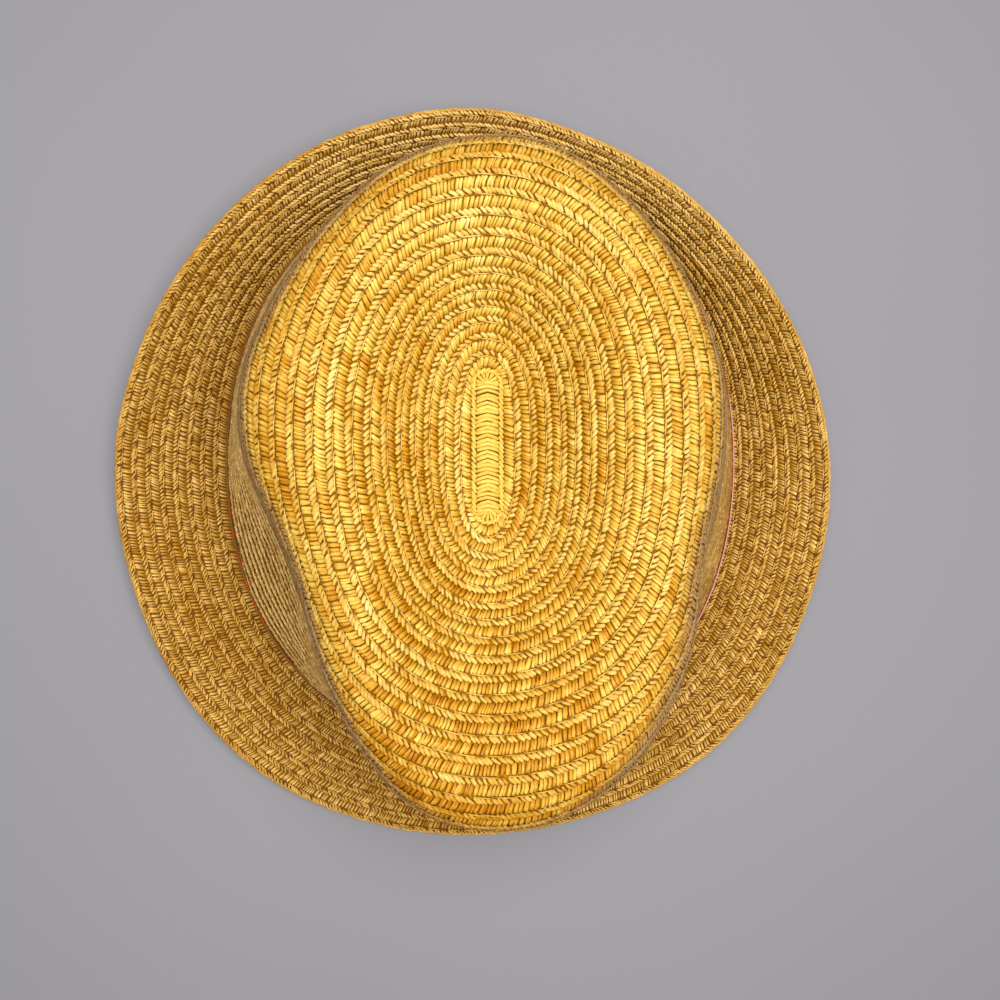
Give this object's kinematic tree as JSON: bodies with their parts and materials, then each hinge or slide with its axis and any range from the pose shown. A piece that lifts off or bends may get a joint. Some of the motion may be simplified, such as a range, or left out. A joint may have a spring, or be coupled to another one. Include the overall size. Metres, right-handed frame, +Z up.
{
  "type": "straw fedora",
  "caption": "Narrow-brimmed fedora of sewn straw braid: hollow teardrop crown with two front pinches, brim turned up at the back, plain ribbon band.",
  "frame": {"origin": "on the surface the hat stands on, below the middle of the hat's box", "axes": "+Z up, the front of the hat faces -Y, the wearer's left side is +X"},
  "size_m": [0.246, 0.2516, 0.11],
  "materials": {
    "crown_straw": "satin honey-yellow braided straw",
    "brim_straw": "satin golden-brown braided straw",
    "band_ribbon": "matt ribbed ribbon"
  },
  "bodies": {
    "root": {"crown": "crown_straw", "brim": "brim_straw", "hat_band": "band_ribbon"}
  },
  "joints": []
}
